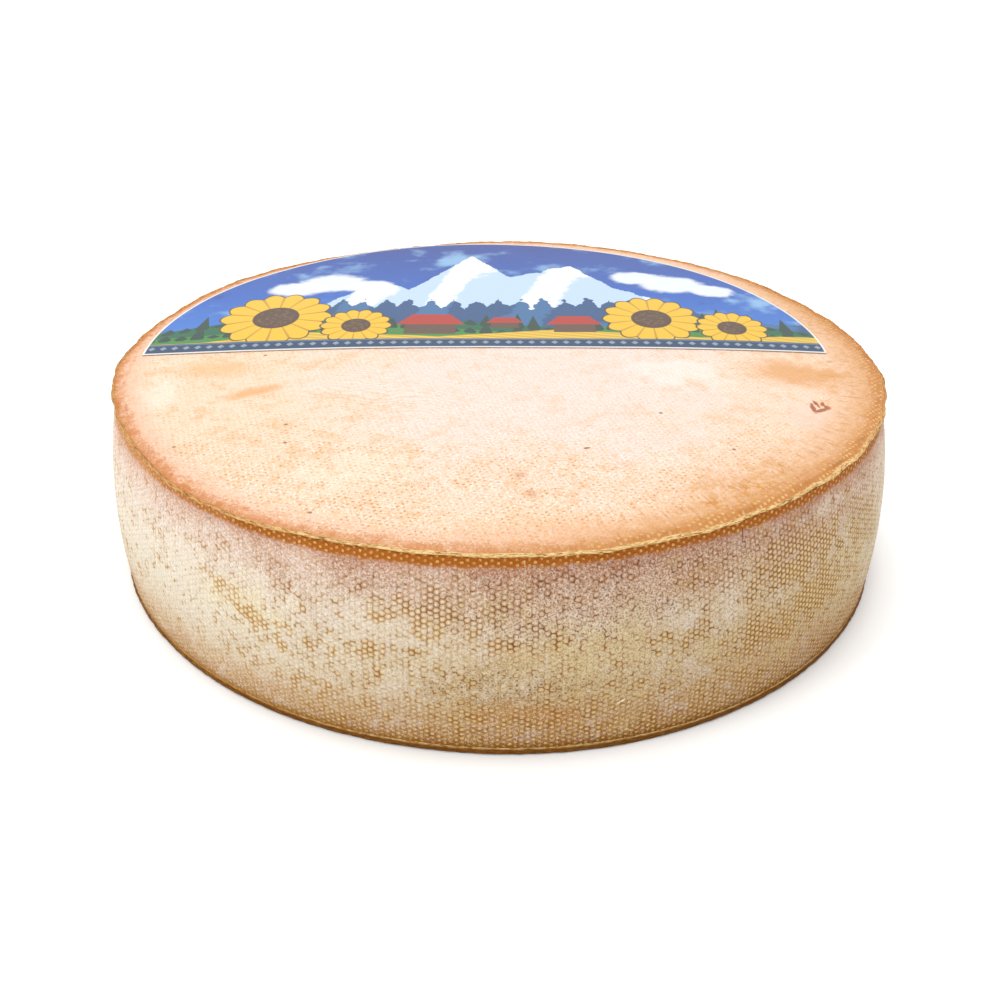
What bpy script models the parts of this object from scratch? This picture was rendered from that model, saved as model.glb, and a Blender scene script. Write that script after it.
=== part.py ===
# Wheel of washed-rind cheese with a half-round paper label on its top face.
# Metres, +Z up. The origin is the middle of the wheel's underside, the wheel
# rests on z = 0, and the label lies on the far half of the top, towards +Y.

import math
import random

import bmesh
import bpy

# Wheel
RIM_RADIUS = 0.1547          # mean, to the outer edge of the top lip
LIP_HEIGHT = 0.0761          # crest of the top lip above the table
UNDER_LIP_RADIUS = 0.1529    # side wall just below the top lip
FOOT_RADIUS = 0.1569         # side wall just above the foot
SIDE_BULGE = 0.0040          # how far the wall swells past a straight cone at mid height
DOME_RISE = 0.0040           # rise of the top from its shoulder to its middle
SHOULDER_WIDTH = 0.007       # rounded border of the top
SHOULDER_DROP = 0.0004       # how far that border falls towards the lip
LIP_RISE = 0.0003            # the lip's crest above the border it stands on
COLUMNS = 144                # facets round the wheel

# Top and foot lips, squeezed out at the mould's joints
LIP_THICKNESS = 0.0012
LIP_LAND = 0.0022            # width of the lip's flat crest
LIP_RAGGED = 0.00014         # unevenness of the top lip's edge
FOOT_LIP = 0.0008            # how far the foot lip stands out of the groove over it
FOOT_LIP_HEIGHT = 0.0016
FOOT_TUCK = 0.0004           # how far the underside's edge is tucked in under the foot lip

# Rings of the solid, between the lips
UNDERSIDE_INSETS = (0.070, 0.006)
SIDE_HEIGHTS = (0.004, 0.010, 0.019, 0.029, 0.039, 0.049, 0.058, 0.066, 0.072, 0.0745)
TOP_INSETS = (0.0036, 0.0055, 0.009, 0.019, 0.033, 0.050, 0.070, 0.092, 0.118)

# Paper label, a half disc laid on the far half of the top
LABEL_RADIUS = 0.142
LABEL_CENTRE = (-0.0059, 0.0051)
LABEL_CHORD = 0.0028         # the straight edge's place along Y, at x = 0
LABEL_SLOPE = 0.0145         # the straight edge's turn, as rise over run
LABEL_THICKNESS = 0.0003
LABEL_GAP = 0.0003           # between the rind and the paper
LABEL_COLUMNS = 40
LABEL_ROWS = 10
LABEL_CROWDING = 1.3         # above 1, the rows lie closer together towards the arc

SEED = 31


def draw_waves(rng, counts, size):
    """One wave for each count round the wheel, with its size and phase drawn."""
    return [(count, rng.uniform(0.5, 1.0) * size, rng.uniform(0.0, math.tau))
            for count in counts]


def add_waves(waves, angle):
    return sum(size * math.cos(count * angle - phase) for count, size, phase in waves)


# The wheel isn't quite round: (waves round it, size, phase), large ones as the real wheel has them
DRAW = random.Random(SEED)
ROUND_WAVES = [(1, 0.00094, -2.33), (2, 0.00060, -2.49), (4, 0.00080, -1.35)]
LIP_WAVES = [(5, 0.00048, 1.83), (7, 0.00060, 2.26), (8, 0.00045, 0.40)]
LIP_WAVES += draw_waves(DRAW, range(9, 16), 0.00010)
FOOT_WAVES = [(2, 0.00040, 2.0), (3, 0.00060, 0.82)] + draw_waves(DRAW, range(5, 11), 0.00012)
RAGGED_WAVES = draw_waves(DRAW, range(19, 62, 6), LIP_RAGGED)
TOP_WAVES = [(DRAW.uniform(0.0, math.tau), DRAW.uniform(0.09, 0.16), DRAW.uniform(0.0, math.tau))
             for _ in range(5)]
TOP_WAVE_SIZE = 0.00012


def rim_radius(angle):
    """Radius of the top lip's outer edge; the angle is 0 at the front and grows towards +X."""
    return RIM_RADIUS + add_waves(ROUND_WAVES, angle) + add_waves(LIP_WAVES, angle)


def side_radius(angle, height):
    """Radius of the bulging side wall."""
    share = height / LIP_HEIGHT
    straight = FOOT_RADIUS * (1.0 - share) + UNDER_LIP_RADIUS * share
    uneven = add_waves(FOOT_WAVES, angle) * (1.0 - share) + add_waves(ROUND_WAVES, angle) * share
    return straight + 4.0 * SIDE_BULGE * share * (1.0 - share) + uneven


def top_height(x, y):
    """Height of the top face: a low dome with a rounded border and slight waves."""
    angle = math.atan2(x, -y)
    reach = math.hypot(x, y)
    rim = rim_radius(angle)
    inside = min(1.0, max(0.0, (rim - reach) / SHOULDER_WIDTH))
    border = SHOULDER_DROP * (1.0 - (1.0 - inside) ** 2)
    dome = DOME_RISE * (1.0 - (reach / rim) ** 2)
    waves = sum(math.sin(math.tau * (x * math.cos(way) + y * math.sin(way)) / length + phase)
                for way, length, phase in TOP_WAVES)
    return LIP_HEIGHT - LIP_RISE + border + dome + TOP_WAVE_SIZE * waves * inside


def wheel_rings():
    """Rings from the foot's middle to the top's middle, each as (radius, height) of an angle."""
    def side(height, stand_out=0.0):
        return lambda a: (side_radius(a, height) + stand_out, height)

    def lip(inset, below):
        return lambda a: (rim_radius(a) + add_waves(RAGGED_WAVES, a) - inset, LIP_HEIGHT - below)

    def top(inset):
        def ring(a):
            reach = rim_radius(a) - inset
            return reach, top_height(reach * math.sin(a), -reach * math.cos(a))
        return ring

    rings = [side(0.0, -inset) for inset in UNDERSIDE_INSETS]
    rings += [side(0.0, -FOOT_TUCK), side(0.4 * FOOT_LIP_HEIGHT, FOOT_LIP)]
    rings += [side(FOOT_LIP_HEIGHT, 0.7 * FOOT_LIP)]
    rings += [side(height) for height in SIDE_HEIGHTS]
    rings += [lip(0.2 * LIP_THICKNESS, LIP_THICKNESS), lip(0.0, 0.5 * LIP_THICKNESS)]
    rings += [lip(0.5 * LIP_THICKNESS, 0.0), lip(LIP_LAND, 0.0)]
    rings += [top(inset) for inset in TOP_INSETS]
    return rings


def build_mesh(name, points, faces):
    mesh = bpy.data.meshes.new(name)
    body = bmesh.new()
    corners = [body.verts.new(point) for point in points]
    for face in faces:
        body.faces.new([corners[index] for index in face])
    bmesh.ops.recalc_face_normals(body, faces=body.faces)
    bmesh.ops.triangulate(body, faces=body.faces)
    body.to_mesh(mesh)
    body.free()
    return mesh


def wheel_shape():
    """The wheel as one closed skin of rings, with a middle point below and above."""
    points = [(0.0, 0.0, 0.0)]
    rings = wheel_rings()
    for ring in rings:
        for column in range(COLUMNS):
            angle = math.tau * column / COLUMNS
            radius, height = ring(angle)
            points.append((radius * math.sin(angle), -radius * math.cos(angle), height))
    points.append((0.0, 0.0, top_height(0.0, 0.0)))
    last = len(points) - 1

    def corner(ring, column):
        return 1 + ring * COLUMNS + column % COLUMNS

    faces = []
    for column in range(COLUMNS):
        faces.append((0, corner(0, column + 1), corner(0, column)))
        faces.append((last, corner(len(rings) - 1, column), corner(len(rings) - 1, column + 1)))
        for ring in range(len(rings) - 1):
            faces.append((corner(ring, column), corner(ring, column + 1),
                          corner(ring + 1, column + 1), corner(ring + 1, column)))
    return points, faces


def label_shape():
    """The label as a thin curved sheet: its columns run from the straight edge to the arc."""
    points = []
    for lift in (LABEL_GAP, LABEL_GAP + LABEL_THICKNESS):
        for column in range(LABEL_COLUMNS + 1):
            angle = math.pi * column / LABEL_COLUMNS
            x = LABEL_CENTRE[0] + LABEL_RADIUS * math.cos(angle)
            chord = LABEL_CHORD + LABEL_SLOPE * x
            arc = LABEL_CENTRE[1] + LABEL_RADIUS * math.sin(angle)
            for row in range(LABEL_ROWS + 1):
                y = arc - (arc - chord) * (1.0 - row / LABEL_ROWS) ** LABEL_CROWDING
                points.append((x, y, top_height(x, y) + lift))

    def corner(layer, column, row):
        return (layer * (LABEL_COLUMNS + 1) + column) * (LABEL_ROWS + 1) + row

    def wall(column, row, next_column, next_row):
        return (corner(0, column, row), corner(0, next_column, next_row),
                corner(1, next_column, next_row), corner(1, column, row))

    faces = []
    for column in range(LABEL_COLUMNS):
        for row in range(LABEL_ROWS):
            for layer in (0, 1):
                faces.append((corner(layer, column, row), corner(layer, column + 1, row),
                              corner(layer, column + 1, row + 1), corner(layer, column, row + 1)))
        faces.append(wall(column, 0, column + 1, 0))
        faces.append(wall(column, LABEL_ROWS, column + 1, LABEL_ROWS))
    for row in range(LABEL_ROWS):
        faces.append(wall(0, row, 0, row + 1))
        faces.append(wall(LABEL_COLUMNS, row, LABEL_COLUMNS, row + 1))
    return points, faces


def material(name, colour, roughness):
    finish = bpy.data.materials.new(name)
    finish.use_nodes = True
    shader = finish.node_tree.nodes["Principled BSDF"]
    shader.inputs["Base Color"].default_value = (*colour, 1.0)
    shader.inputs["Roughness"].default_value = roughness
    shader.inputs["Metallic"].default_value = 0.0
    return finish


def add_object(name, shape, middle, finish):
    """Add one piece, moved so that the wheel's box is centred on the origin."""
    points, faces = shape
    moved = [(x - middle[0], y - middle[1], z) for x, y, z in points]
    mesh = build_mesh(name, moved, faces)
    mesh.materials.append(finish)
    mesh.shade_smooth()
    mesh.set_sharp_from_angle(angle=math.radians(40.0))
    piece = bpy.data.objects.new(name, mesh)
    bpy.context.scene.collection.objects.link(piece)
    return piece


for old in list(bpy.data.objects):
    bpy.data.objects.remove(old)

wheel = wheel_shape()
MIDDLE = [0.5 * (min(point[side] for point in wheel[0]) + max(point[side] for point in wheel[0]))
          for side in (0, 1)]
add_object("cheese_wheel", wheel, MIDDLE, material("washed_rind", (0.80, 0.60, 0.41), 0.62))
add_object("label", label_shape(), MIDDLE, material("printed_paper", (0.13, 0.30, 0.68), 0.45))
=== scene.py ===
import math
import random

import bpy
from mathutils import Matrix, Vector, geometry, noise


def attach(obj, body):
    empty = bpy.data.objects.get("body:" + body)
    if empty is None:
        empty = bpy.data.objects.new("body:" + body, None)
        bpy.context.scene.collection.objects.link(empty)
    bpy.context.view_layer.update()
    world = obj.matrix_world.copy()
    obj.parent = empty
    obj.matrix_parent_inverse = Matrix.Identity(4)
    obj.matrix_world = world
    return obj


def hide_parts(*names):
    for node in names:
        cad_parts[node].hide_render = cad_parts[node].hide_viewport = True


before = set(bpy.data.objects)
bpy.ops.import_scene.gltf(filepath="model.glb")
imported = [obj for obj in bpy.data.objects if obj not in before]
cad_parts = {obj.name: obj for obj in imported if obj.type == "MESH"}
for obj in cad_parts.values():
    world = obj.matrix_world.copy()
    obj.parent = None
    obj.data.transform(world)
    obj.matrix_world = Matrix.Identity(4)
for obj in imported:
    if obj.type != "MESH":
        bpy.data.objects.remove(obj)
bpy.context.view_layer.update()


# The wheel of cheese
# Pressed curd with a smear-ripened rind. The mould's plastic mesh has printed its nubs all over,
# the curd squeezed out at the mould's joints is the ragged lip above and below, and the brine
# brushed on while it ripened left the orange rims, the white bloom and the marks.

RIM_RADIUS = 0.1547
LIP_HEIGHT = 0.0761
UNDER_LIP_RADIUS = 0.1529
FOOT_RADIUS = 0.1569
SIDE_BULGE = 0.0040
DOME_RISE = 0.0040
SHOULDER_WIDTH = 0.007
SHOULDER_DROP = 0.0004
LIP_RISE = 0.0003
LIP_RAGGED = 0.00014
FOOT_LIP = 0.0008
FOOT_TUCK = 0.0004
TOP_WAVE_SIZE = 0.00012
MIDDLE = Vector((-0.000588, -0.000049, 0.0))    # the wave formulas' own middle, seen from the wheel's

SIDE_COLUMNS = 500              # nubs round the wheel; each second column is half a nub higher
HALF_ROWS = 72                  # half nubs from the foot lip to the top lip
HALF_ROW = 0.001
FIRST_ROW = 0.0027              # height of the lowest nubs' middles
GROOVE_SHARE = 0.368            # the grooves' corners, as a share of the gap between two columns
SIDE_RELIEF = 0.00032
TOP_NUB = 0.0022                # from nub to nub on the top face
TOP_TURN = math.radians(17.0)   # the top mesh lies turned by this
TOP_RELIEF = 0.00016
TOP_BORDER = 0.0036             # the lip's width, before the top face's nubs begin
TOP_NUB_GAP = 0.0008            # clear width between the lip's last ring and the first nub
HIDDEN_STEP = 0.009             # mesh size under the label and on the underside
COVERED_INSET = 0.004           # the nubs run on this far under the label
HIDDEN_INSET = 0.007            # the coarse mesh begins this far under the label
FOOT_INSET = 0.012              # the coarse mesh ends this far from the foot's edge

LABEL_RADIUS = 0.142
LABEL_CENTRE = (-0.0059, 0.0051)
LABEL_CHORD = 0.0028
LABEL_SLOPE = 0.0145
SEED = 31


def draw_waves(rng, counts, size):
    return [(count, rng.uniform(0.5, 1.0) * size, rng.uniform(0.0, math.tau))
            for count in counts]


def add_waves(waves, angle):
    return sum(size * math.cos(count * angle - phase) for count, size, phase in waves)


draw = random.Random(SEED)
round_waves = [(1, 0.00094, -2.33), (2, 0.00060, -2.49), (4, 0.00080, -1.35)]
lip_waves = [(5, 0.00048, 1.83), (7, 0.00060, 2.26), (8, 0.00045, 0.40)]
lip_waves += draw_waves(draw, range(9, 16), 0.00010)
foot_waves = [(2, 0.00040, 2.0), (3, 0.00060, 0.82)] + draw_waves(draw, range(5, 11), 0.00012)
ragged_waves = draw_waves(draw, range(19, 62, 6), LIP_RAGGED)
top_waves = [(draw.uniform(0.0, math.tau), draw.uniform(0.09, 0.16), draw.uniform(0.0, math.tau))
             for _ in range(5)]


def rim_radius(angle):
    return RIM_RADIUS + add_waves(round_waves, angle) + add_waves(lip_waves, angle)


def side_radius(angle, height):
    share = height / LIP_HEIGHT
    straight = FOOT_RADIUS * (1.0 - share) + UNDER_LIP_RADIUS * share
    uneven = add_waves(foot_waves, angle) * (1.0 - share) + add_waves(round_waves, angle) * share
    return straight + 4.0 * SIDE_BULGE * share * (1.0 - share) + uneven


def top_height(x, y):
    angle = math.atan2(x, -y)
    reach = math.hypot(x, y)
    rim = rim_radius(angle)
    inside = min(1.0, max(0.0, (rim - reach) / SHOULDER_WIDTH))
    border = SHOULDER_DROP * (1.0 - (1.0 - inside) ** 2)
    dome = DOME_RISE * (1.0 - (reach / rim) ** 2)
    waves = sum(math.sin(math.tau * (x * math.cos(way) + y * math.sin(way)) / length + phase)
                for way, length, phase in top_waves)
    return LIP_HEIGHT - LIP_RISE + border + dome + TOP_WAVE_SIZE * waves * inside


def round_point(angle, radius, height):
    return Vector((radius * math.sin(angle), -radius * math.cos(angle), height))


def rough(point, size, seed):
    """Smooth noise from about -1 to 1, with lumps of the given size."""
    return noise.noise(point / size + Vector((seed, 2.7 * seed, -seed)))


wheel_points, wheel_faces, wheel_finishes = [], [], []
SIDE, TOP, LIP = 0, 1, 2


def add_point(point):
    wheel_points.append(point - MIDDLE)
    return len(wheel_points) - 1


def add_faces(faces, finish):
    wheel_faces.extend(faces)
    wheel_finishes.extend([finish] * len(faces))


# Side wall: six facets for each nub, from its raised middle to the corners of its groove
def side_point(column, half_row, lift):
    angle = math.tau * column / SIDE_COLUMNS
    height = FIRST_ROW + HALF_ROW * half_row
    spot = round_point(angle, side_radius(angle, height), height)
    fill = 0.62 + 0.38 * rough(spot, 0.011, 3)
    slump = 0.00010 * rough(spot, 0.004, 8) + 0.00016 * rough(spot, 0.03, 5)
    return round_point(angle, side_radius(angle, height) + lift * fill + slump, height)


corners = {}
middles = {}
for column in range(SIDE_COLUMNS):
    for half_row in range(HALF_ROWS + 1):
        nub_here = (column + half_row) % 2 == 0
        offset = 1.0 - GROOVE_SHARE if nub_here else GROOVE_SHARE
        corners[column, half_row] = add_point(
            side_point(column + offset, half_row, -0.4 * SIDE_RELIEF))
        if nub_here:
            middles[column, half_row] = add_point(side_point(column, half_row, 0.6 * SIDE_RELIEF))

for (column, half_row), middle in middles.items():
    before = (column - 1) % SIDE_COLUMNS
    loop = [corners[which, half_row + step] for which, step in (
        (column, -1), (column, 0), (column, 1), (before, 1), (before, 0), (before, -1))
        if 0 <= half_row + step <= HALF_ROWS]
    pairs = list(zip(loop, loop[1:] + loop[:1]))
    if half_row == 0:
        pairs = [(loop[0], loop[1]), (loop[1], loop[2]), (loop[2], loop[3])]
    elif half_row == HALF_ROWS:
        pairs = [(loop[0], loop[1]), (loop[2], loop[3]), (loop[3], loop[0])]
    add_faces([(middle, first, second) for first, second in pairs], SIDE)

# Lips: rings on the side wall's own columns, torn and strung out along their edges
ring_angles = []
bottom_ring, top_ring = [], []
for column in range(0, SIDE_COLUMNS, 2):
    before = (column - 1) % SIDE_COLUMNS
    for where, key, table in ((column - 1.0 + GROOVE_SHARE, before, corners),
                              (column, column, middles),
                              (column + 1.0 - GROOVE_SHARE, column, corners)):
        ring_angles.append(math.tau * where / SIDE_COLUMNS)
        bottom_ring.append(table[key, 0])
        top_ring.append(table[key, HALF_ROWS])


def add_ring(shape):
    return [add_point(shape(angle)) for angle in ring_angles]


def join_rings(lower, upper, finish):
    count = len(lower)
    faces = []
    for step in range(count):
        after = (step + 1) % count
        faces.append((lower[step], lower[after], upper[after], upper[step]))
    add_faces(faces, finish)


def lip_ring(inset, below, tear, seed):
    """A ring of the top lip; tear is how far noise may pull it about."""
    def shape(angle):
        radius = rim_radius(angle) + add_waves(ragged_waves, angle)
        spot = round_point(angle, radius, LIP_HEIGHT)
        spread = 1.0 + 0.45 * rough(spot, 0.012, 9)
        out = tear * (rough(spot, 0.0035, seed) + 0.6 * rough(spot, 0.0014, seed + 1))
        up = 0.8 * tear * (rough(spot, 0.0028, seed + 2) + 0.5 * rough(spot, 0.0013, seed + 3))
        return round_point(angle, radius - spread * inset + min(out, 0.3 * tear),
                           LIP_HEIGHT - below + min(up, 0.5 * tear))
    return add_ring(shape)


def top_edge_ring(inset):
    def shape(angle):
        radius = rim_radius(angle) - inset
        spot = round_point(angle, radius, 0.0)
        spot.z = top_height(spot.x, spot.y)
        return spot
    return add_ring(shape)


def foot_ring(stand_out, height, tear, seed):
    def shape(angle):
        radius = side_radius(angle, height) + stand_out
        spot = round_point(angle, radius, height)
        return round_point(angle, radius + tear * rough(spot, 0.003, seed), height)
    return add_ring(shape)


# Each ring's distance in from the rim, depth below the lip, tearing and seed for its noise
lip_rings = [(top_ring, SIDE),
             (lip_ring(0.0012, 0.00125, 0.00012, 11), LIP),
             (lip_ring(0.00025, 0.00105, 0.00035, 15), LIP),
             (lip_ring(0.00000, 0.00060, 0.00040, 19), LIP),
             (lip_ring(0.00035, 0.00010, 0.00035, 23), LIP),
             (lip_ring(0.00070, 0.00045, 0.00030, 27), LIP),
             (lip_ring(0.00110, 0.00012, 0.00035, 31), LIP),
             (lip_ring(0.00150, 0.00040, 0.00035, 35), TOP),
             (lip_ring(0.00240, 0.00052, 0.00015, 39), TOP),
             (top_edge_ring(TOP_BORDER), TOP)]
for (lower, finish), (upper, _) in zip(lip_rings, lip_rings[1:]):
    join_rings(lower, upper, finish)
rim_ring = lip_rings[-1][0]

# Each ring's distance out from the wall, height, tearing and seed for its noise
rings = [foot_ring(-FOOT_TUCK, 0.0, 0.0002, 41),
         foot_ring(0.6 * FOOT_LIP, 0.00025, 0.0003, 44),
         foot_ring(FOOT_LIP, 0.00065, 0.0003, 47),
         foot_ring(0.85 * FOOT_LIP, 0.00125, 0.0003, 50),
         foot_ring(0.15 * FOOT_LIP, 0.00175, 0.0001, 53),
         bottom_ring]
for lower, upper in zip(rings, rings[1:]):
    join_rings(lower, upper, LIP)
foot_edge = rings[0]


# Top face and underside: a flat net of points, lifted to the surface
def fill_disc(edge, inner, height_at, finish, upward):
    flat = [Vector((wheel_points[index] + MIDDLE).xy) for index in edge] + [spot for spot, _ in inner]
    loop = [(step, (step + 1) % len(edge)) for step in range(len(edge))]
    spots, _, faces, origins, _, _ = geometry.delaunay_2d_cdt(flat, loop, [], 1, 1e-7)
    index_of = {}
    for index, spot in enumerate(spots):
        known = min(origins[index]) if origins[index] else None
        if known is not None and known < len(edge):
            index_of[index] = edge[known]
        else:
            lift = inner[known - len(edge)][1] if known is not None else 0.0
            index_of[index] = add_point(Vector((spot.x, spot.y, height_at(spot.x, spot.y) + lift)))
    turned = [face if upward else face[::-1] for face in faces]
    add_faces([tuple(index_of[index] for index in face) for face in turned], finish)


def under_label(x, y, inset):
    """Whether a point lies under the label, at least inset inside its outline."""
    reach = math.hypot(x - LABEL_CENTRE[0], y - LABEL_CENTRE[1])
    return reach < LABEL_RADIUS - inset and y > LABEL_CHORD + LABEL_SLOPE * x + inset


top_inner = []
column_pitch = TOP_NUB * math.sqrt(3.0) / 2.0
columns = int(RIM_RADIUS / column_pitch) + 2
rows = int(RIM_RADIUS / TOP_NUB) + 2
for column in range(-columns, columns + 1):
    for half_row in range(-2 * rows, 2 * rows + 1):
        nub_here = (column + half_row) % 2 == 0
        spots = [(column + (2.0 / 3.0 if nub_here else 1.0 / 3.0), -0.4)]
        if nub_here:
            spots.append((column, 0.6))
        for place, lift in spots:
            across, along = place * column_pitch, half_row * 0.5 * TOP_NUB
            x = across * math.cos(TOP_TURN) - along * math.sin(TOP_TURN)
            y = across * math.sin(TOP_TURN) + along * math.cos(TOP_TURN)
            angle = math.atan2(x, -y)
            nub_limit = rim_radius(angle) - TOP_BORDER - TOP_NUB_GAP
            if math.hypot(x, y) > nub_limit or under_label(x, y, COVERED_INSET):
                continue
            spot = Vector((x, y, 0.0))
            fill = 0.55 + 0.45 * rough(spot, 0.013, 61)
            uneven = 0.00006 * rough(spot, 0.005, 64)
            top_inner.append((spot.xy, lift * TOP_RELIEF * fill + uneven))
steps = int(RIM_RADIUS / HIDDEN_STEP) + 1
hidden = [Vector((HIDDEN_STEP * a, HIDDEN_STEP * b)) for a in range(-steps, steps + 1)
          for b in range(-steps, steps + 1)]
top_inner += [(spot, 0.0) for spot in hidden if under_label(spot.x, spot.y, HIDDEN_INSET)]
fill_disc(rim_ring, top_inner, top_height, TOP, True)

bottom_inner = [(spot, 0.0) for spot in hidden if spot.length < FOOT_RADIUS - FOOT_INSET]
for inset, share in ((0.0022, 2), (0.006, 4)):
    for angle in ring_angles[::share]:
        spot = round_point(angle, side_radius(angle, 0.0) - inset, 0.0)
        bottom_inner.append((spot.xy, 0.0))
fill_disc(foot_edge, bottom_inner, lambda x, y: 0.0, TOP, False)

wheel_mesh = bpy.data.meshes.new("cheese_wheel_rind")
wheel_mesh.from_pydata(wheel_points, [], wheel_faces)
wheel_mesh.polygons.foreach_set("material_index", wheel_finishes)
wheel_mesh.shade_smooth()
cheese = bpy.data.objects.new("washed_rind_wheel", wheel_mesh)
bpy.context.scene.collection.objects.link(cheese)


class Wire:
    """An output of a node in a material. Arithmetic on it adds Math nodes."""

    def __init__(self, tree, socket=None):
        self.tree, self.socket = tree, socket

    def add(self, kind, settings=(), sockets=(), output=0):
        """Add a node: first its settings, then the values or links of its sockets."""
        node = self.tree.nodes.new("ShaderNode" + kind)
        for name, value in dict(settings).items():
            if name == "stops":
                while len(node.color_ramp.elements) < len(value):
                    node.color_ramp.elements.new(0.5)
                for element, (position, colour) in zip(node.color_ramp.elements, value):
                    element.position, element.color = position, (*colour[:3], 1.0)
            else:
                setattr(node, name, value)
        for name, value in dict(sockets).items():
            if isinstance(value, Wire):
                self.tree.links.new(value.socket, node.inputs[name])
            else:
                node.inputs[name].default_value = value
        return Wire(self.tree, node.outputs[output])

    def turn(self, output):
        """Another output of the same node."""
        return Wire(self.tree, self.socket.node.outputs[output])

    def maths(self, operation, *values):
        return self.add("Math", {"operation": operation}, dict(enumerate(values)))

    def __add__(self, other):
        return self.maths("ADD", self, other)

    def __sub__(self, other):
        return self.maths("SUBTRACT", self, other)

    def __rsub__(self, other):
        return self.maths("SUBTRACT", other, self)

    def __mul__(self, other):
        return self.maths("MULTIPLY", self, other)

    def __truediv__(self, other):
        return self.maths("DIVIDE", self, other)

    __radd__ = __add__
    __rmul__ = __mul__

    def __neg__(self):
        return self * -1.0

    def __abs__(self):
        return self.maths("ABSOLUTE", self)

    def least(self, other):
        return self.maths("MINIMUM", self, other)

    def most(self, other):
        return self.maths("MAXIMUM", self, other)

    def rise(self, low, high):
        """0 below low, 1 above high and a smooth step between; falls where low > high."""
        if low > high:
            return 1.0 - self.rise(high, low)
        return self.add("MapRange", {"interpolation_type": "SMOOTHSTEP"},
                        {"Value": self, "From Min": low, "From Max": high})

    def noise(self, size, detail=2.0, roughness=0.5, shift=0.0):
        """Cloudy noise of lumps of a size in the vector's own unit."""
        moved = self.add("VectorMath", {"operation": "ADD"}, {0: self, 1: (shift, -shift, 2.0 * shift)})
        return self.add("TexNoise", {}, {"Vector": moved, "Scale": 1.0 / size, "Detail": detail,
                                         "Roughness": roughness})

    def over(self, below, colour):
        """The colour laid over the one below it, where this mask is."""
        return self.add("Mix", {"data_type": "RGBA"}, {0: self, 6: below, 7: colour}, 2)

    def ramp(self, *stops):
        """A colour for each height of this value, blended between the stops."""
        return self.add("ValToRGB", {"stops": stops}, {"Fac": self})

    def root_of_squares(self, other):
        """The distance of a place from the middle, along both ways."""
        return self.maths("SQRT", self * self + other * other)

    def feed(self, shader, name):
        self.tree.links.new(self.socket, shader.inputs[name])


def tint(red, green, blue):
    """A colour given as on a screen, 0 to 255, for a shader."""
    return tuple(((value / 255.0 + 0.055) / 1.055) ** 2.4 if value > 10 else value / 3294.6
                 for value in (red, green, blue)) + (1.0,)


def new_finish(name):
    finish = bpy.data.materials.new(name)
    finish.use_nodes = True
    shader = finish.node_tree.nodes["Principled BSDF"]
    return finish, shader, Wire(finish.node_tree)


def place_in_mm(start):
    """The place on the piece in millimetres, then x, y and z as the wave formulas count them."""
    place = start.add("TexCoord", output="Object")
    place = start.add("VectorMath", {"operation": "SCALE"}, {0: place, "Scale": 1000.0})
    parts = start.add("SeparateXYZ", (), {0: place})
    x, y = parts + 1000.0 * MIDDLE.x, parts.turn(1) + 1000.0 * MIDDLE.y
    return place, x, y, parts.turn(2)


def nub_net(across, up, pitch, spacing):
    """The press net: 0 on a nub's middle and 1 in the groove round it, and a number for each nub."""
    half = 0.5 * spacing
    reach = 0.5 * (pitch ** 2 + half ** 2)
    nets = []
    for shift in (0.0, 1.0):
        aside = (across - shift * pitch).maths("WRAP", across - shift * pitch, pitch, -pitch)
        above = (up - shift * half).maths("WRAP", up - shift * half, half, -half)
        edge = (abs(above) / half).most((abs(aside) * pitch + abs(above) * half) / reach)
        nets.append((edge, (across - aside) / pitch, (up - above) / half))
    (first, column, row), (second, next_column, next_row) = nets
    nearer = first.maths("LESS_THAN", first, second)
    column = nearer * column + (1.0 - nearer) * next_column
    row = nearer * row + (1.0 - nearer) * next_row
    number = column.add("CombineXYZ", (), {0: column.maths("ROUND", column),
                                           1: row.maths("ROUND", row)})
    number = number.add("TexWhiteNoise", {"noise_dimensions": "2D"}, {"Vector": number})
    return first.least(second), number


def mark(across, up, centre, half_sizes, turn=0.0, soft=0.5, wobble=0.0):
    """A soft oval mark; wobble is noise that makes its outline uneven."""
    cos, sin = math.cos(math.radians(turn)), math.sin(math.radians(turn))
    aside, above = across - centre[0], up - centre[1]
    along = (aside * cos + above * sin) / half_sizes[0]
    over = (above * cos - aside * sin) / half_sizes[1]
    reach = along.root_of_squares(over) + wobble
    return reach.rise(1.0, 1.0 - soft)


WALL_MM_PER_DEGREE = 2.72       # marks on the wall are placed by their arc from its middle, in mm
WALL_MM = 76.0                  # and by their height; colours change with their share of this
SIDE_PITCH_MM = 1.945           # between two columns of nubs


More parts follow.
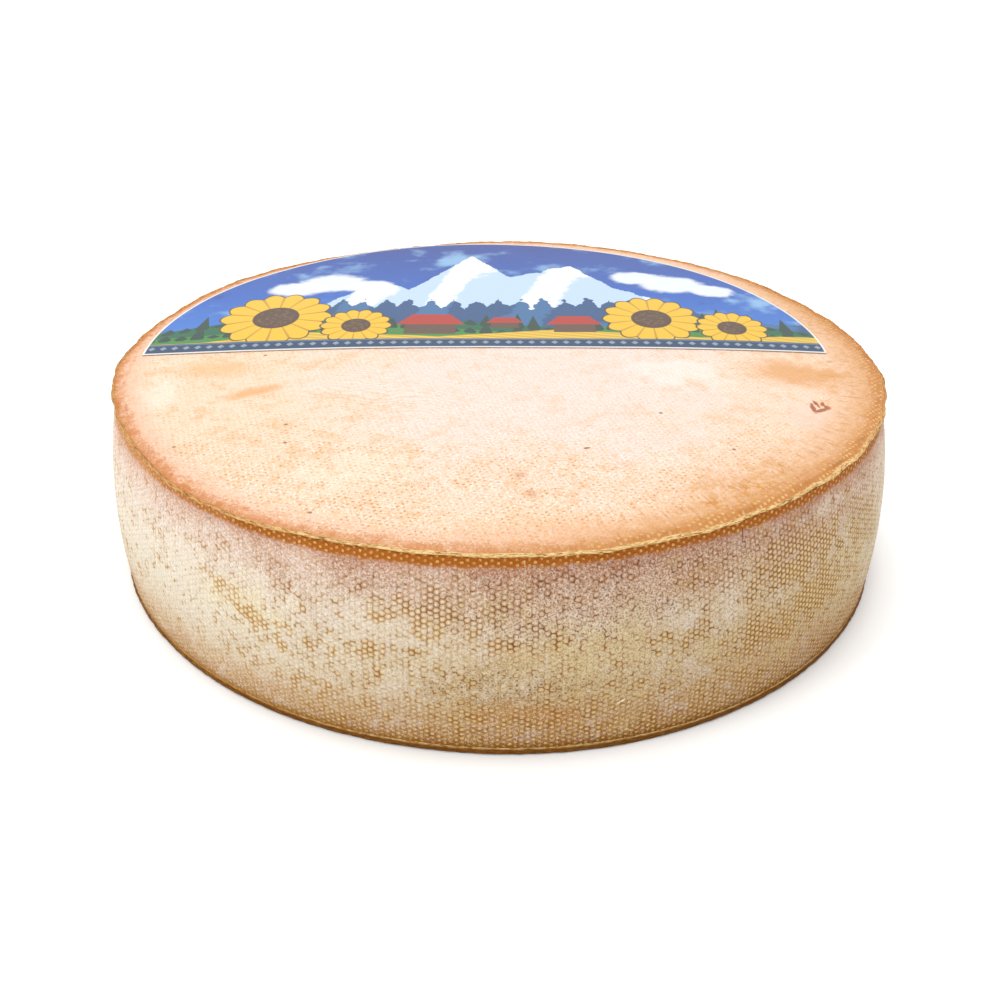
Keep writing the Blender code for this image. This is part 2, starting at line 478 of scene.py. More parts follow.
def finish_side(name):
    finish, shader, start = new_finish(name)
    place, x, y, z = place_in_mm(start)
    angle = x.maths("ARCTAN2", x, -y)
    degrees = angle * math.degrees(1.0)
    arc = degrees * WALL_MM_PER_DEGREE
    stray = place.noise(2.4, 2.0, 0.5, 90.0) - 0.5
    net, number = nub_net(angle * (SIDE_COLUMNS * SIDE_PITCH_MM / math.tau) + stray * 1.2,
                          z - 1000.0 * FIRST_ROW + stray * 1.1, SIDE_PITCH_MM, 2000.0 * HALF_ROW)

    cloudy = place.noise(16.0, 3.0)
    patchy = place.noise(7.0, 4.0, 0.6, 20.0)
    speckle = place.noise(0.62, 2.0, 0.6, 40.0)
    grain = place.noise(0.36, 2.0, 0.6, 60.0)
    wobble = (patchy - 0.5) * 2.8 + stray * 0.8

    # Bloom, paler on the left, and the bare rind under it, both darker towards the foot
    height = (z + (cloudy - 0.5) * 14.0 + (patchy - 0.5) * 8.0) / WALL_MM
    pale_bloom = height.ramp(
        (0.05, tint(164, 121, 71)), (0.15, tint(184, 150, 110)), (0.28, tint(206, 190, 164)),
        (0.50, tint(219, 209, 190)), (0.74, tint(222, 206, 188)), (0.84, tint(214, 186, 170)),
        (0.93, tint(206, 164, 142)))
    ochre_bloom = height.ramp(
        (0.05, tint(153, 101, 31)), (0.15, tint(166, 122, 68)), (0.26, tint(183, 152, 104)),
        (0.42, tint(196, 173, 133)), (0.66, tint(205, 183, 152)), (0.79, tint(195, 161, 131)),
        (0.93, tint(178, 129, 102)))
    bare = height.ramp(
        (0.05, tint(156, 104, 30)), (0.20, tint(180, 130, 64)), (0.45, tint(192, 152, 88)),
        (0.72, tint(190, 144, 84)), (0.93, tint(178, 114, 62)))
    facing = degrees + (cloudy - 0.5) * 50.0
    ochre = facing.rise(-44.0, 12.0) * (1.0 - 0.80 * facing.rise(48.0, 76.0))
    colour = ochre.over(pale_bloom, ochre_bloom)
    drift = place.noise(11.0, 4.0, 0.6, 70.0)
    colour = (drift.rise(0.52, 0.66) * ochre * 0.45).over(colour, tint(196, 168, 106))
    colour = (drift.rise(0.47, 0.34) * 0.40).over(colour, tint(208, 192, 180))
    for centre, half_sizes, strength, stain in (
            ((-92.0, 44.0), (28.0, 10.0), 0.40, tint(222, 204, 142)),
            ((30.0, 40.0), (28.0, 14.0), 0.40, tint(204, 178, 110)),
            ((124.0, 36.0), (30.0, 17.0), 0.65, tint(187, 152, 94)),
            ((150.0, 34.0), (26.0, 20.0), 0.40, tint(212, 192, 146)),
            ((200.0, 27.0), (30.0, 15.0), 0.55, tint(218, 204, 180)),
            ((120.0, 10.0), (34.0, 9.0), 0.40, tint(148, 108, 62)),
            ((1.0, 40.0), (20.0, 9.0), 0.55, tint(186, 156, 104)),
            ((66.0, 60.0), (13.0, 9.0), 0.50, tint(176, 116, 60)),
            ((94.0, 28.0), (20.0, 14.0), 0.50, tint(180, 132, 76)),
            ((12.0, 17.5), (34.0, 6.5), 0.75, tint(168, 112, 40)),
            ((18.0, 14.0), (2.2, 8.0), 0.50, tint(170, 106, 42))):
        colour = (mark(arc, z, centre, half_sizes, 0.0, 0.9, wobble) * strength).over(colour, stain)

    # Where the bloom is thin, the rind's nubs show one by one, pale with brown grooves
    thin = 0.20 + 0.14 * ochre + (patchy - 0.5) * 1.6 + (cloudy - 0.5) * 0.9
    for centre, half_sizes, turn, strength in (
            ((-22.0, 56.0), (26.0, 14.0), 0.0, 0.95), ((1.0, 45.0), (22.0, 5.0), 8.0, 0.85),
            ((-43.0, 39.0), (13.0, 8.0), 0.0, 0.9), ((-88.0, 41.0), (30.0, 7.0), -26.0, 0.9),
            ((-62.0, 37.0), (20.0, 6.0), -12.0, 0.70), ((-106.0, 50.0), (6.0, 5.0), 0.0, 0.8),
            ((31.0, 42.0), (20.0, 9.0), 0.0, 0.45), ((68.0, 58.0), (16.0, 12.0), 0.0, 0.60),
            ((60.0, 38.0), (12.0, 7.0), 0.0, 0.60), ((112.0, 54.0), (46.0, 20.0), -6.0, 1.0),
            ((158.0, 48.0), (40.0, 23.0), 0.0, 0.70), ((92.0, 32.0), (24.0, 17.0), 0.0, 0.75),
            ((126.0, 36.0), (34.0, 17.0), 0.0, 0.90),
            ((-18.0, 17.0), (34.0, 7.0), 0.0, 0.60), ((-60.0, 20.0), (40.0, 9.0), 0.0, 0.60)):
        thin = thin.most(mark(arc, z, centre, half_sizes, turn, 0.95, wobble) * strength)
    calm = mark(arc, z, (38.0, 52.0), (32.0, 20.0), 0.0, 1.2, wobble)
    thin = thin * (1.0 - 0.78 * calm) * z.rise(71.5, 67.5)
    worn = (thin + (number - 0.5) * 0.50 + stray * 1.8 + (speckle - 0.5) * 0.9).rise(0.28, 0.84)
    upper = (z + (cloudy - 0.5) * 50.0).rise(40.0, 60.0) * (1.0 - 0.8 * facing.rise(22.0, 40.0))
    head_tint = ochre.over(tint(232, 220, 178), upper.over(tint(224, 204, 144), tint(226, 210, 184)))
    groove_tint = ochre.over(tint(166, 122, 62), upper.over(tint(122, 74, 8), tint(100, 50, 14)))
    rough_net = net + (speckle - 0.5) * 0.6 + stray * 0.3
    head = rough_net.rise(0.58, 0.26)
    groove = rough_net.rise(0.74, 0.92)
    colour = (worn * (0.68 - 0.25 * upper)).over(colour, bare)
    colour = (head * (worn * 0.50 + 0.18)).over(colour, head_tint)
    colour = (groove * (worn * 0.90 + 0.16 + stray.rise(0.04, 0.16) * 0.25)).over(colour, groove_tint)

    # The bloom's dark pores and white powder, and the pits in the nubs' heads on the thickest of it
    covered = 1.0 - worn * 0.75
    pore_tint = ochre.over(tint(160, 118, 80), tint(116, 68, 30))
    pores = speckle.rise(0.47, 0.35) * covered
    colour = (pores * (0.30 + 0.22 * ochre + 0.30 * ochre * upper + 0.12 * calm)).over(colour, pore_tint)
    colour = (speckle.rise(0.52, 0.62) * covered * (0.45 + 0.25 * upper)).over(
        colour, ochre.over(tint(238, 230, 220), tint(222, 208, 194)))
    pitted = mark(arc, z, (4.0, 29.0), (44.0, 10.0), 0.0, 0.8, wobble * 0.7)
    pitted = (pitted + calm * 0.35 + (patchy + (cloudy - 0.5) * 0.8).rise(0.50, 0.66) * 0.35).least(1.0)
    pit = (net + (grain - 0.5) * 0.6).rise(0.46, 0.26) * number.rise(0.10, 0.50) * pitted * covered
    colour = (pit * (0.35 + 0.45 * ochre)).over(colour, tint(104, 66, 32))
    colour = (grain.rise(0.55, 0.72) * 0.34).over(colour, tint(234, 222, 204))
    colour = (grain.rise(0.46, 0.32) * (0.14 + 0.20 * ochre)).over(colour, tint(136, 96, 54))
    veins = abs(stray + (speckle - 0.5) * 0.5).rise(0.16, 0.03)
    for centre, half_sizes, strength in (
            ((80.0, 48.0), (5.0, 9.0), 0.65), ((130.0, 66.0), (20.0, 5.0), 0.70),
            ((66.0, 46.0), (10.0, 4.5), 0.45), ((180.0, 62.0), (24.0, 10.0), 0.40)):
        frost = mark(arc, z, centre, half_sizes, 0.0, 0.9, wobble)
        colour = (frost * strength * (0.08 + 0.62 * veins)).over(colour, tint(226, 214, 200))

    # The washed orange bands under the top lip and over the foot, with the nubs' heads pale
    ragged = (place.noise(3.0, 3.0, 0.6, 80.0) - 0.5) * 2.4
    halo = (z + ragged * 1.8).rise(67.0, 72.0)
    colour = (halo * 0.34).over(colour, tint(170, 104, 64))
    band = (z + ragged).rise(70.5, 72.0)
    colour = band.over(colour, (facing.rise(-66.0, -26.0) * facing.rise(150.0, 100.0)).over(
        tint(190, 130, 78), tint(162, 90, 22)))
    low = (z + ragged * 2.0 + (patchy - 0.5) * 10.0).rise(25.0, 9.0)
    foot = (z + ragged * 0.8).rise(6.2, 2.6)
    colour = (foot * 0.97).over(colour, ochre.over(tint(156, 108, 42), tint(122, 72, 0)))
    dot = (net + (grain - 0.5) * 0.4).rise(0.56, 0.34) * (0.35 + 0.65 * number)
    colour = (dot * band * 0.85).over(colour, tint(218, 172, 98))
    dot_tint = foot.over(tint(218, 184, 116), tint(206, 160, 66))
    colour = (dot * low * (0.42 + 0.28 * ochre)).over(colour, dot_tint)

    # Marks of the mould and the brush
    seam = abs(arc - 8.4 - stray * 1.4).rise(0.42, 0.12)
    seam = seam * z.rise(24.0, 40.0) * speckle.rise(0.38, 0.50)
    colour = (seam * 0.6).over(colour, tint(214, 190, 140))
    for centre, half_sizes, turn, strength, stain in (
            ((25.0, 33.0), (0.35, 13.0), 0.0, 0.40, tint(150, 104, 50)),
            ((86.0, 70.0), (0.45, 3.4), -6.0, 0.80, tint(120, 52, 8)),
            ((40.4, 19.6), (2.4, 0.4), 30.0, 0.80, tint(240, 224, 200))):
        colour = (mark(arc, z, centre, half_sizes, turn, 0.5) * strength).over(colour, stain)

    shader.inputs["Roughness"].default_value = 0.6
    shader.inputs["Specular IOR Level"].default_value = 0.14
    colour.feed(shader, "Base Color")
    relief = (1.0 - net.rise(0.3, 1.0)) * 0.7 - pit * 0.6 + speckle * 0.8 + grain * 0.3
    bump = start.add("Bump", (), {"Strength": 1.0, "Distance": 0.0005, "Height": relief})
    bump.feed(shader, "Normal")
    return finish


def rim_in_mm(angle):
    """The lip's radius at an angle, from its largest waves."""
    rim = angle * 0.0 + 1000.0 * RIM_RADIUS
    for count, size, phase in round_waves + lip_waves[:3]:
        turned = angle * count - phase
        rim = rim + turned.maths("COSINE", turned) * (1000.0 * size)
    return rim


def finish_top(name):
    finish, shader, start = new_finish(name)
    place, x, y, z = place_in_mm(start)
    stray = place.noise(2.4, 2.0, 0.5, 90.0) - 0.5
    across = x * math.cos(TOP_TURN) + y * math.sin(TOP_TURN) + stray * 1.2
    along = y * math.cos(TOP_TURN) - x * math.sin(TOP_TURN) + stray
    spacing = 1000.0 * TOP_NUB
    net, number = nub_net(across, along, spacing * math.sqrt(3.0) / 2.0, spacing)
    angle = x.maths("ARCTAN2", x, -y)
    degrees = angle * math.degrees(1.0)
    inward = rim_in_mm(angle) - x.root_of_squares(y)
    upper = z.rise(30.0, 50.0)

    cloudy = place.noise(28.0, 3.0, 0.5, 5.0)
    patchy = place.noise(9.0, 5.0, 0.65, 25.0)
    mottle = place.noise(3.0, 4.0, 0.65, 35.0)
    speckle = place.noise(0.7, 2.0, 0.6, 45.0)
    grain = place.noise(0.4, 2.0, 0.6, 65.0)
    wobble = (patchy - 0.5) * 2.4

    # Pinkish white bloom, yellower away from the middle, thin over tan rind in small patches
    away = (x - 15.0).root_of_squares(y + 22.0)
    warm = (away + (cloudy - 0.5) * 90.0).rise(42.0, 118.0)
    colour = warm.over(tint(223, 198, 190), tint(223, 192, 168))
    front = y.rise(-45.0, -115.0)
    worn = (patchy + stray * 0.35 + (speckle - 0.5) * 0.25).rise(0.50, 0.64)
    colour = (worn * (0.28 + 0.30 * warm)).over(colour, tint(208, 162, 116))
    mottled = (mottle + (speckle - 0.5) * 0.35).rise(0.53, 0.66)
    colour = (mottled * (0.20 + 0.15 * warm + 0.32 * front)).over(colour, tint(208, 160, 102))
    head = net.rise(0.80, 0.55) * (0.4 + 0.6 * number)
    colour = (head * 0.25).over(colour, tint(214, 172, 134))
    dot = (net + (grain - 0.5) * 0.6 + (speckle - 0.5) * 0.5).rise(0.50, 0.22)
    clumped = (patchy + (cloudy - 0.5)).rise(0.42, 0.62)
    dot = dot * number.rise(0.0, 0.9) * (0.25 + 0.55 * front + 0.40 * clumped) * (0.40 + 0.60 * warm)
    colour = (dot.least(1.0) * 0.85).over(colour, tint(190, 130, 68))
    colour = (speckle.rise(0.46, 0.34) * (0.25 + 0.40 * front)).over(colour, tint(198, 144, 86))
    colour = (speckle.rise(0.54, 0.66) * (0.50 + 0.30 * front)).over(colour, tint(236, 220, 208))

    # Tan stains, ribs that the press cloth left, a brown scar on a bare round, and dark specks
    for centre, half_sizes, turn, strength, stain in (
            ((120.0, -17.0), (28.0, 17.0), -10.0, 0.72, tint(196, 138, 74)),
            ((-134.0, -36.0), (11.0, 20.0), 8.0, 0.40, tint(234, 212, 198)),
            ((72.0, -20.0), (26.0, 18.0), 0.0, 0.40, tint(232, 216, 208)),
            ((-50.0, -100.0), (34.0, 16.0), 24.0, 0.30, tint(232, 212, 192)),
            ((18.0, -140.0), (46.0, 12.0), 4.0, 0.35, tint(206, 150, 98)),
            ((-114.0, -15.0), (22.0, 11.0), 0.0, 0.50, tint(206, 156, 92)),
            ((-95.0, -38.5), (17.0, 5.5), 26.0, 0.80, tint(206, 152, 98)),
            ((118.0, -54.0), (15.0, 17.0), 0.0, 0.60, tint(218, 188, 172)),
            ((6.8, -104.4), (3.6, 3.4), 0.0, 0.50, tint(170, 114, 74)),
            ((10.6, -117.0), (2.6, 4.2), 0.0, 0.50, tint(176, 124, 84)),
            ((135.3, -3.4), (2.4, 1.6), 0.0, 0.45, tint(130, 106, 56))):
        uneven = wobble * (0.8 if half_sizes[0] > 3.0 else 0.2)
        stained = mark(x, y, centre, half_sizes, turn, 0.7, uneven)
        colour = (stained * upper * strength).over(colour, stain)
    rib = y + x * 0.2 + (cloudy - 0.5) * 22.0
    rib = rib.maths("PINGPONG", rib, 1.3)
    ribbed = mark(x, y, (-42.0, -44.0), (52.0, 28.0), -12.0, 0.8, wobble * 0.5) * upper
    ribbed = ribbed * (mottle + (speckle - 0.5) * 0.4).rise(0.38, 0.60)
    colour = (rib.rise(0.7, 1.2) * ribbed * 0.45).over(colour, tint(208, 162, 116))
    colour = (rib.rise(0.5, 0.1) * ribbed * 0.35).over(colour, tint(232, 218, 204))
    for centre, half_sizes, turn in (
            ((119.5, -47.6), (1.3, 5.8), 0.0), ((122.2, -49.6), (4.0, 1.6), 35.0),
            ((121.6, -44.2), (1.1, 4.0), 12.0), ((123.9, -43.6), (1.1, 3.2), -14.0),
            ((125.2, -46.6), (1.8, 2.2), 0.0), ((31.1, -85.5), (1.7, 0.8), 20.0)):
        scar = mark(x, y, centre, half_sizes, turn, 0.5, wobble * 0.3 + stray)
        colour = (scar * upper * 0.90).over(colour, tint(146, 74, 40))
    for centre in ((-96.2, -2.6), (-78.4, -67.2), (-76.7, -81.3), (-116.2, -83.0), (-61.7, -128.5),
                   (60.4, -56.8), (83.5, -84.6)):
        speck = mark(x, y, centre, (1.1, 1.0), 0.0, 0.6)
        colour = (speck * upper * 0.85).over(colour, tint(124, 90, 48))

    # Brine gathered at the rim: pink on the left, a ragged ochre border, a golden haze on the right
    beside = start.add("CombineXYZ", (), {0: degrees * 0.9, 1: inward})
    blotch = beside.noise(3.4, 4.0, 0.6) - 0.5
    brush = start.add("CombineXYZ", (), {0: degrees * 3.4, 1: inward * 0.2})
    brushed = brush.noise(1.9, 3.0, 0.6) - 0.5
    right = degrees.rise(-8.0, 32.0) * degrees.rise(150.0, 105.0)
    left = degrees.rise(-18.0, -50.0) * degrees.rise(-175.0, -130.0)
    fine = (speckle - 0.5) * 14.0 + (mottle - 0.5) * 20.0
    rosy = (inward + blotch * 8.0 + (patchy - 0.5) * 14.0).rise(17.0, 6.0)
    colour = (rosy * (0.30 + 0.15 * left)).over(colour, tint(212, 168, 146))
    haze = (inward + (patchy - 0.5) * 20.0 + blotch * 10.0 + fine + (1.0 - right) * 14.0).rise(28.0, 3.0)
    haze = haze.most(mark(x, y, (88.0, -114.0), (60.0, 27.0), 42.0, 1.0, wobble * 0.8))
    haze = haze * ((mottle + (speckle - 0.5) * 0.8).rise(0.38, 0.60) * 0.6 + 0.4)
    colour = (haze * 0.92).over(colour, tint(187, 127, 50))
    streak = (brushed + (speckle - 0.5) * 0.25).rise(0.05, 0.17) * inward.rise(34.0, 12.0) * right
    colour = (streak * 0.60).over(colour, tint(170, 108, 46))
    edge = inward + blotch * 10.0 + fine * 0.6
    border = (edge - right * 1.5 - front * 0.5 + left * 0.5).rise(7.5, 0.5)
    golden = (right + degrees.rise(-30.0, 0.0) * 0.5).least(1.0)
    colour = (border * (0.80 + 0.15 * left)).over(
        colour, golden.over(tint(182, 112, 56), tint(176, 112, 46)))
    scab = (blotch + stray * 0.3).rise(0.06, 0.14) * inward.rise(6.5, 4.5) * left
    colour = (scab * 0.60).over(colour, tint(166, 98, 54))
    gold = (net + (grain - 0.5) * 0.5 + (speckle - 0.5) * 0.4).rise(0.62, 0.34) * number.rise(0.05, 0.60)
    gold = gold * (border * 0.7 + haze * 0.7).least(1.0)
    colour = (gold * (0.28 + 0.40 * right)).over(colour, tint(220, 188, 130))

    shader.inputs["Roughness"].default_value = 0.55
    shader.inputs["Specular IOR Level"].default_value = 0.22
    colour.feed(shader, "Base Color")
    relief = (1.0 - net.rise(0.3, 1.0)) * 0.4 - dot * 0.4 + speckle * 0.8 + grain * 0.3 + mottle * 0.8
    bump = start.add("Bump", (), {"Strength": 1.0, "Distance": 0.0003, "Height": relief})
    bump.feed(shader, "Normal")
    return finish


def finish_lip(name):
    finish, shader, start = new_finish(name)
    place, x, y, z = place_in_mm(start)
    angle = x.maths("ARCTAN2", x, -y)
    degrees = angle * math.degrees(1.0)
    reach = x.root_of_squares(y)
    inward = rim_in_mm(angle) - reach
    strung = start.add("CombineXYZ", (), {0: angle * 60.0, 1: reach * 2.4, 2: z * 2.4})
    strands = strung.noise(1.0, 4.0, 0.6)
    clumps = place.noise(5.0, 2.0, 0.5, 30.0)
    grain = place.noise(0.5, 2.0, 0.6, 65.0)
    # Painted light: on its front arc, from about -42 to 85 degrees, the lip is painted paler straw with
    # brighter flecks and no orange inner edge, as if lit there
    painted_lit_front = (degrees + (clumps - 0.5) * 40.0).rise(-42.0, -8.0) * degrees.rise(85.0, 50.0)
    colour = strands.rise(0.40, 0.58).over(painted_lit_front.over(tint(166, 110, 54), tint(180, 124, 50)),
                                           painted_lit_front.over(tint(196, 152, 94), tint(224, 196, 142)))
    colour = ((strands + (clumps - 0.5) * 0.4).rise(0.42, 0.34) * 0.85).over(colour, tint(118, 68, 18))
    colour = (grain.rise(0.55, 0.72) * (0.30 + 0.40 * painted_lit_front)).over(colour, tint(238, 218, 170))
    inner = inward.rise(0.7, 1.4) * (1.0 - painted_lit_front)
    colour = (inner * 0.8).over(colour, tint(182, 116, 66))
    low = z.rise(3.0, 1.5)
    foot_tint = degrees.rise(-28.0, -50.0).over(tint(124, 74, 0), tint(150, 104, 32))
    colour = (low * 0.97).over(colour, strands.rise(0.44, 0.66).over(tint(98, 54, 0), foot_tint))
    # Painted shade: the lowest 0.8 mm of the foot lip, where it meets the floor, is darkened almost to
    # black brown as a contact shadow
    colour = (z.rise(0.8, 0.1) * low * 0.6).over(colour, tint(56, 32, 4))
    shader.inputs["Roughness"].default_value = 0.5
    shader.inputs["Specular IOR Level"].default_value = 0.08
    colour.feed(shader, "Base Color")
    bump = start.add("Bump", (), {"Strength": 1.0, "Distance": 0.0004, "Height": strands + grain * 0.4})
    bump.feed(shader, "Normal")
    return finish


wheel_mesh.materials.append(finish_side("pressed_side_rind"))
wheel_mesh.materials.append(finish_top("brushed_top_rind"))
wheel_mesh.materials.append(finish_lip("squeezed_lip"))
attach(cheese, "root")
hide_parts("cheese_wheel")


# The paper label
# A half disc of printed paper laid on the far half of the top face, where the rind's own
# moisture holds it. Its print is an alpine meadow under a blue sky, with a dark strip along
# the straight edge and a thin white border.

LABEL_THICKNESS = 0.0003
LABEL_GAP = 0.0003
LABEL_COLUMNS = 160
LABEL_ROWS = 40
LABEL_CROWDING = 1.3            # rows of the mesh lie closer together near the arc
COCKLE = 0.00005

HALF_SPAN = 150.0               # the print's outlines reach this far to each side, in mm
STRIP_HEIGHT = 9.6              # the dark strip along the straight edge
HAIRLINE_HEIGHT = 8.6
LOZENGE_HEIGHT = 5.4
LOZENGE_PITCH = 4.8
FIR_PITCH = 6.8
SNOW_LINE = 46.0
WHITE_EDGE = 0.8


def label_corner(column, row, lift):
    angle = math.pi * column / LABEL_COLUMNS
    x = LABEL_CENTRE[0] + LABEL_RADIUS * math.cos(angle)
    chord = LABEL_CHORD + LABEL_SLOPE * x
    arc = LABEL_CENTRE[1] + LABEL_RADIUS * math.sin(angle)
    y = arc - (arc - chord) * (1.0 - row / LABEL_ROWS) ** LABEL_CROWDING
    cockle = COCKLE * rough(Vector((x, y, 0.0)), 0.014, 71)
    return Vector((x, y, top_height(x, y) + lift + cockle)) - MIDDLE


label_points = [label_corner(column, row, lift) for lift in (LABEL_GAP, LABEL_GAP + LABEL_THICKNESS)
                for column in range(LABEL_COLUMNS + 1) for row in range(LABEL_ROWS + 1)]


def label_index(layer, column, row):
    return (layer * (LABEL_COLUMNS + 1) + column) * (LABEL_ROWS + 1) + row


label_faces = []
for column in range(LABEL_COLUMNS):
    for row in range(LABEL_ROWS):
        for layer in (0, 1):
            face = [label_index(layer, column, row), label_index(layer, column + 1, row),
                    label_index(layer, column + 1, row + 1), label_index(layer, column, row + 1)]
            label_faces.append(face if layer == 0 else face[::-1])
    for row in (0, LABEL_ROWS):
        face = [label_index(0, column, row), label_index(0, column + 1, row),
                label_index(1, column + 1, row), label_index(1, column, row)]
        label_faces.append(face[::-1] if row == 0 else face)
for row in range(LABEL_ROWS):
    for column in (0, LABEL_COLUMNS):
        face = [label_index(0, column, row), label_index(0, column, row + 1),
                label_index(1, column, row + 1), label_index(1, column, row)]
        label_faces.append(face if column == 0 else face[::-1])
label_mesh = bpy.data.meshes.new("label_paper_sheet")
label_mesh.from_pydata(label_points, [], label_faces)
label_mesh.validate()
label_mesh.shade_smooth()
label_mesh.set_sharp_from_angle(angle=math.radians(40.0))
label = bpy.data.objects.new("paper_label", label_mesh)
bpy.context.scene.collection.objects.link(label)


def finish_label(name):
    finish, shader, start = new_finish(name)
    place, x, y, _ = place_in_mm(start)
    across = x - 1000.0 * LABEL_CENTRE[0]
    out = y - 1000.0 * LABEL_CENTRE[1]
    reach = across.root_of_squares(out)
    up = y - 1000.0 * LABEL_CHORD - x * LABEL_SLOPE
    clouds = place.noise(24.0, 4.0, 0.55, 12.0)
    jagged = place.noise(7.0, 3.0, 0.6, 31.0) - 0.5

    def inside(distance, soft=0.25):
        return distance.rise(-soft, soft)

    def profile(*points):
        """A height in mm that follows points along the label, from -150 to 150 mm."""
        stops = [((place_across + HALF_SPAN) / (2.0 * HALF_SPAN), (height / HALF_SPAN,) * 3)
                 for place_across, height in points]
        return ((across + HALF_SPAN) / (2.0 * HALF_SPAN)).ramp(*stops) * HALF_SPAN

    # Sky, darker towards the top, with soft clouds
    height = up / (1000.0 * LABEL_RADIUS)
    colour = height.ramp((0.10, tint(50, 108, 184)), (0.45, tint(26, 82, 164)),
                         (0.95, tint(26, 58, 132)))
    colour = (clouds.rise(0.40, 0.28) * 0.6).over(colour, tint(14, 46, 108))
    colour = (clouds.rise(0.52, 0.72) * 0.8).over(colour, tint(132, 172, 204))
    for centre, size in (((-88.0, 74.0), 15.0), ((-72.0, 82.0), 19.0), ((-54.0, 76.0), 13.0),
                         ((70.0, 88.0), 14.0), ((86.0, 80.0), 18.0), ((104.0, 72.0), 12.0)):
        puff = mark(across, up, centre, (size, 0.8 * size), 0.0, 0.35, jagged * 0.5)
        colour = (puff * 0.95).over(colour, tint(206, 210, 216))

    # Snow-capped mountains
    ridge = profile((-124, 26), (-98, 40), (-84, 36), (-50, 84), (-36, 70), (-8, 122), (10, 88),
                    (18, 92), (40, 106), (58, 72), (74, 60), (96, 38), (118, 30)) + jagged * 9.0
    rock = inside(ridge - up)
    colour = rock.over(colour, tint(48, 94, 138))
    slope = across + (ridge - up) * 0.35 + jagged * 8.0
    shade = slope.maths("PINGPONG", slope + 50.0, 22.0).rise(9.0, 12.0)
    colour = (rock * shade * 0.7).over(colour, tint(24, 58, 100))
    zigzag = across.maths("PINGPONG", across, 5.0) * 2.4
    snow = rock * inside(up - SNOW_LINE - zigzag - jagged * 26.0)
    colour = snow.over(colour, (shade * 0.55).over(tint(208, 212, 218), tint(120, 166, 206)))

    # Green foothills with hay fields, firs and red-roofed barns
    far_hill = profile((-142, 22), (-104, 34), (-60, 22), (-10, 30), (40, 20), (96, 34), (142, 20))
    near_hill = profile((-142, 16), (-96, 20), (-40, 26), (14, 16), (66, 26), (110, 18), (142, 16))
    for hill, green in ((far_hill, tint(12, 86, 56)), (near_hill, tint(52, 116, 48))):
        colour = inside(hill - up).over(colour, green)
        tree = across.maths("WRAP", across, 0.5 * FIR_PITCH, -0.5 * FIR_PITCH)
        which = across.maths("ROUND", (across - tree) / FIR_PITCH)
        tall = which.add("TexWhiteNoise", {"noise_dimensions": "1D"}, {"W": which})
        fir = inside((tall * 16.0 + 2.0) * (1.0 - abs(tree) / 3.0) - abs(up - hill + 2.0), 0.3)
        colour = (fir * inside(up - hill + 4.0)).over(colour, tint(20, 54, 40))
    field = inside(profile((-120, 10), (-80, 18), (-20, 12), (30, 20), (90, 12), (130, 16)) - up)
    rows = up.maths("PINGPONG", up + across * 0.25, 1.6).rise(0.6, 1.0)
    colour = field.over(colour, rows.over(tint(186, 148, 40), tint(204, 170, 56)))
    for centre, foot, half in ((-24.0, 15.0, 11.0), (38.0, 17.0, 9.0), (8.0, 22.0, 6.0)):
        wall = inside((half - abs(across - centre)).least((up - foot).least(foot + half - up)))
        colour = wall.over(colour, tint(84, 60, 44))
        roof_edge = (1.35 * half - abs(across - centre) - (up - foot - half) * 0.55)
        roof = inside(roof_edge.least((up - foot - half).least(foot + 2.1 * half - up)))
        colour = roof.over(colour, tint(156, 40, 26))

    # Sunflowers
    for centre, size in (((-92.0, 36.0), 24.0), ((-56.0, 25.0), 15.0), ((72.0, 33.0), 21.0),
                         ((106.0, 24.0), 15.0)):
        aside, above = across - centre[0], (up - centre[1]) * 0.8
        round_off = aside.root_of_squares(above)
        way = aside.maths("ARCTAN2", above, aside)
        petal = way.maths("COSINE", way * 7.0)
        edge = size * 0.86 + abs(petal) * (size * 0.14)
        colour = inside(edge + 0.8 - round_off).over(colour, tint(70, 52, 28))
        colour = inside(edge - round_off).over(colour, tint(208, 166, 24))
        ray = abs(petal).rise(0.30, 0.12) * inside(round_off - size * 0.4)
        colour = (ray * inside(edge - round_off) * 0.7).over(colour, tint(160, 108, 26))
        colour = inside(size * 0.42 - round_off).over(colour, tint(70, 48, 32))
        seeds = place.noise(1.6, 1.0).rise(0.5, 0.6) * inside(size * 0.34 - round_off)
        colour = (seeds * 0.7).over(colour, tint(112, 80, 48))

    # Dark strip with a fine row of lozenges, and the paper's white edge
    strip = inside(STRIP_HEIGHT - up)
    colour = strip.over(colour, tint(16, 52, 84))
    lozenge = across.maths("PINGPONG", across, 0.5 * LOZENGE_PITCH)
    lozenge = inside(1.5 - lozenge - abs(up - LOZENGE_HEIGHT) * 0.8, 0.3)
    colour = (lozenge * 0.55).over(colour, tint(160, 170, 184))
    hairline = inside(0.35 - abs(up - HAIRLINE_HEIGHT), 0.2)
    colour = (hairline * 0.6).over(colour, tint(104, 130, 170))
    border = inside(WHITE_EDGE - (1000.0 * LABEL_RADIUS - reach).least(up))
    colour = border.over(colour, tint(210, 210, 206))

    fibre = place.noise(0.8, 3.0, 0.6, 51.0)
    (fibre * 0.12 + 0.36).feed(shader, "Roughness")
    colour.feed(shader, "Base Color")
    bump = start.add("Bump", (), {"Strength": 0.25, "Distance": 0.0001, "Height": fibre})
    bump.feed(shader, "Normal")
    return finish


label_mesh.materials.append(finish_label("printed_label_paper"))
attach(label, "root")
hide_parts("label")


# Floor and light
# A plain white table top under soft studio light: a wide sky of diffused light, a large soft
# box overhead and a second one on the left.

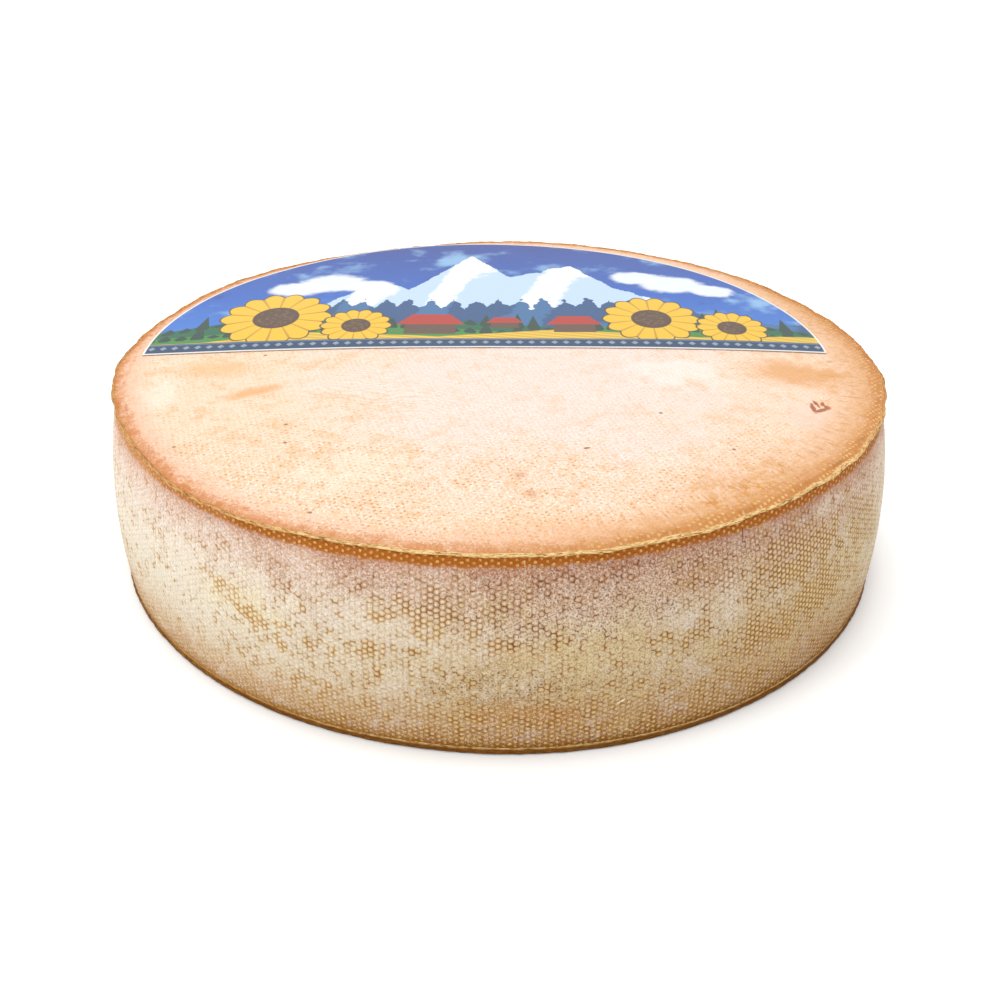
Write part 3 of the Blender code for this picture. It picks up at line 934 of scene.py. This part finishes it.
FLOOR_HALF = 6.0
floor_mesh = bpy.data.meshes.new("table_top")
floor_mesh.from_pydata([(-FLOOR_HALF, -FLOOR_HALF, 0.0), (FLOOR_HALF, -FLOOR_HALF, 0.0),
                        (FLOOR_HALF, FLOOR_HALF, 0.0), (-FLOOR_HALF, FLOOR_HALF, 0.0)],
                       [], [(0, 1, 2, 3)])
floor = bpy.data.objects.new("table_top", floor_mesh)
bpy.context.scene.collection.objects.link(floor)
floor_finish, floor_shader, _ = new_finish("matt_white_board")
floor_shader.inputs["Base Color"].default_value = (0.96, 0.98, 0.99, 1.0)
floor_shader.inputs["Roughness"].default_value = 0.8
floor_mesh.materials.append(floor_finish)

world = bpy.data.worlds.new("diffused_light")
bpy.context.scene.world = world
world.use_nodes = True
world.node_tree.nodes["Background"].inputs["Color"].default_value = (1.0, 1.0, 1.0, 1.0)
world.node_tree.nodes["Background"].inputs["Strength"].default_value = 1.02


def soft_box(name, place, aim, size, power):
    lamp = bpy.data.lights.new(name, "AREA")
    lamp.shape, lamp.size, lamp.energy = "DISK", size, power
    box = bpy.data.objects.new(name, lamp)
    box.location = place
    box.rotation_euler = (Vector(aim) - Vector(place)).to_track_quat("-Z", "Y").to_euler()
    bpy.context.scene.collection.objects.link(box)


soft_box("overhead_box", place=(-0.2, 0.3, 1.8), aim=(0.0, 0.0, 0.0), size=1.6, power=19.0)
soft_box("left_box", place=(-1.5, -0.9, 1.0), aim=(0.0, 0.0, 0.04), size=0.9, power=9.5)


# Camera
# At the photograph's own height and angle, looking down at the front of the wheel. Its place,
# aim, roll and focal length were worked out from the outlines of the top rim and the foot.

CAMERA_PLACE = Vector((0.000588, -0.494921, 0.28724))
CAMERA_AIM = Vector((0.000988, 0.000049, 0.00954))
CAMERA_ROLL = math.radians(0.284)
ahead = (CAMERA_AIM - CAMERA_PLACE).normalized()
right = ahead.cross(Vector((0.0, 0.0, 1.0))).normalized()
upward = right.cross(ahead)
rolled_right = right * math.cos(CAMERA_ROLL) + upward * math.sin(CAMERA_ROLL)
rolled_up = upward * math.cos(CAMERA_ROLL) - right * math.sin(CAMERA_ROLL)
lens = bpy.data.cameras.new("studio_camera")
lens.sensor_width = 36.0
lens.lens = 46.59
lens.clip_start = 0.01
camera = bpy.data.objects.new("studio_camera", lens)
camera.matrix_world = Matrix.Translation(CAMERA_PLACE) @ Matrix(
    (rolled_right, rolled_up, -ahead)).transposed().to_4x4()
bpy.context.scene.collection.objects.link(camera)
bpy.context.scene.camera = camera
bpy.context.scene.view_settings.view_transform = "Standard"
